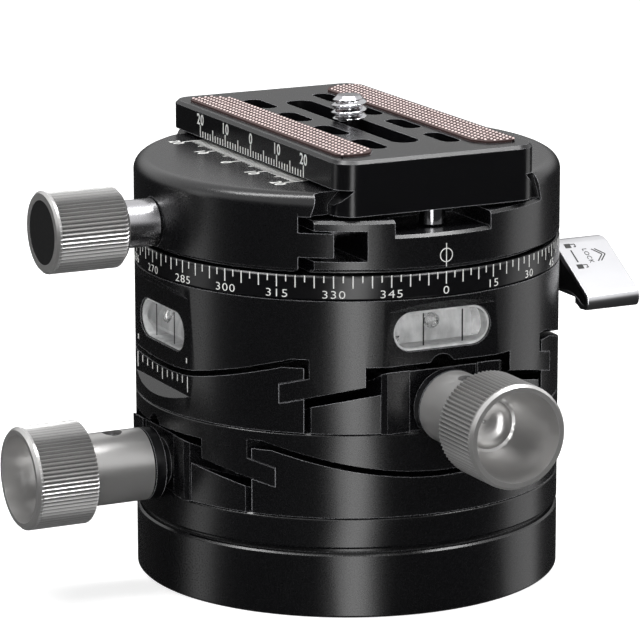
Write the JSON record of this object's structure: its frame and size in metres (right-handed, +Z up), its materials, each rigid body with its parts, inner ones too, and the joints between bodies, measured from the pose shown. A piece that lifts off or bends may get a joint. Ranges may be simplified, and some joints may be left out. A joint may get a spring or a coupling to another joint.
{
  "type": "geared tripod head",
  "caption": "Stacked geared tripod head: worm-driven tilting stages with knurled knobs, turning dovetail clamp with scale, sliding camera plate and lock lever.",
  "frame": {"origin": "centre of the tapped hole in the underside, on the standing face", "axes": "+Z up through the camera screw; -Y is the front with the index mark and the front tilt knob; -X is the side of the clamp knob and the side tilt knob"},
  "size_m": [0.1133, 0.1006, 0.0839],
  "materials": {
    "black_anodised": "satin",
    "grey_anodised": "satin",
    "bright_aluminium": "polished",
    "steel": "satin",
    "chrome": "polished",
    "bronze": "satin",
    "level_glass": "clear",
    "grip_rubber": "woven pattern"
  },
  "bodies": {
    "base": {"base_disc": "black_anodised", "base_ring": "black_anodised", "base_screws": "steel", "lower_rail_front": "black_anodised", "lower_rail_back": "black_anodised", "lower_housing": "black_anodised", "lower_housing_screws": "steel", "lower_worm_nut": "black_anodised", "lower_worm_bush": "bronze"},
    "lower_drive": {"lower_worm_shaft": "steel", "lower_tilt_knob": "grey_anodised", "lower_knob_grub": "steel"},
    "middle": {"lower_cradle": "black_anodised", "lower_rack": "bronze", "lower_rack_screws": "steel", "upper_rail_left": "black_anodised", "upper_rail_right": "black_anodised", "upper_housing": "black_anodised", "stage_screws": "steel", "upper_worm_nut": "black_anodised", "upper_worm_bush": "bronze"},
    "upper_drive": {"upper_worm_shaft": "steel", "upper_tilt_knob": "grey_anodised", "upper_knob_grub": "steel"},
    "top_cradle": {"upper_cradle": "black_anodised", "upper_rack": "bronze", "upper_rack_screws": "steel", "front_level": "level_glass", "left_level": "level_glass", "pan_scale_ring": "black_anodised", "ring_screws": "steel", "lock_shoe": "bronze"},
    "lock_lever": {"lock_screw": "steel", "lock_lever_arm": "black_anodised", "lock_lever_cover": "bright_aluminium"},
    "clamp": {"pan_spindle": "steel", "spindle_screws": "steel", "clamp_body": "black_anodised", "jaw_pins": "steel"},
    "jaw": {"clamp_jaw": "black_anodised"},
    "clamp_drive": {"clamp_screw": "bright_aluminium", "clamp_knob": "grey_anodised", "clamp_knob_cap": "black_anodised"},
    "camera_plate": {"plate": "black_anodised", "left_grip_strip": "grip_rubber", "right_grip_strip": "grip_rubber", "stop_screws": "chrome"},
    "screw": {"camera_screw": "chrome"}
  },
  "joints": [
    {"name": "lower_tilt", "type": "hinge", "parent": "base", "child": "middle", "pos_m": [0, 0, 0.1043], "axis": [0, 1, 0], "range_deg": [-15, 15]},
    {"name": "lower_knob_turn", "type": "hinge", "parent": "base", "child": "lower_drive", "pos_m": [0, 0, 0.0221], "axis": [1, 0, 0], "range_deg": [-3600, 3600]},
    {"name": "upper_tilt", "type": "hinge", "parent": "middle", "child": "top_cradle", "pos_m": [0, 0, 0.11905], "axis": [-1, 0, 0], "range_deg": [-15, 15]},
    {"name": "upper_knob_turn", "type": "hinge", "parent": "middle", "child": "upper_drive", "pos_m": [0, 0, 0.03685], "axis": [0, 1, 0], "range_deg": [-3600, 3600]},
    {"name": "pan_turn", "type": "hinge", "parent": "top_cradle", "child": "clamp", "pos_m": [0, 0, 0.0555], "axis": [0, 0, 1], "continuous": true},
    {"name": "lock_lever_swing", "type": "hinge", "parent": "top_cradle", "child": "lock_lever", "pos_m": [0.0395, -0.003, 0.0502], "axis": [1, 0, 0], "range_deg": [0, 40]},
    {"name": "jaw_slide", "type": "slide", "parent": "clamp", "child": "jaw", "axis": [-1, 0, 0], "range_m": [0, 0.0032]},
    {"name": "clamp_knob_turn", "type": "hinge", "parent": "jaw", "child": "clamp_drive", "pos_m": [-0.0375, 0, 0.0649], "axis": [-1, 0, 0], "range_deg": [0, 1152]},
    {"name": "plate_slide", "type": "slide", "parent": "clamp", "child": "camera_plate", "axis": [0, 1, 0], "range_m": [-0.005, 0.005]},
    {"name": "camera_screw_turn", "type": "hinge", "parent": "camera_plate", "child": "screw", "pos_m": [0.0008, 0.0008, 0.0794], "axis": [0, 0, 1], "continuous": true}
  ],
  "couplings": [
    {"joint": "lower_knob_turn", "follows": "lower_tilt", "ratio": 240},
    {"joint": "upper_knob_turn", "follows": "upper_tilt", "ratio": 240},
    {"joint": "clamp_knob_turn", "follows": "jaw_slide", "rad_per_m": 6283.2}
  ]
}
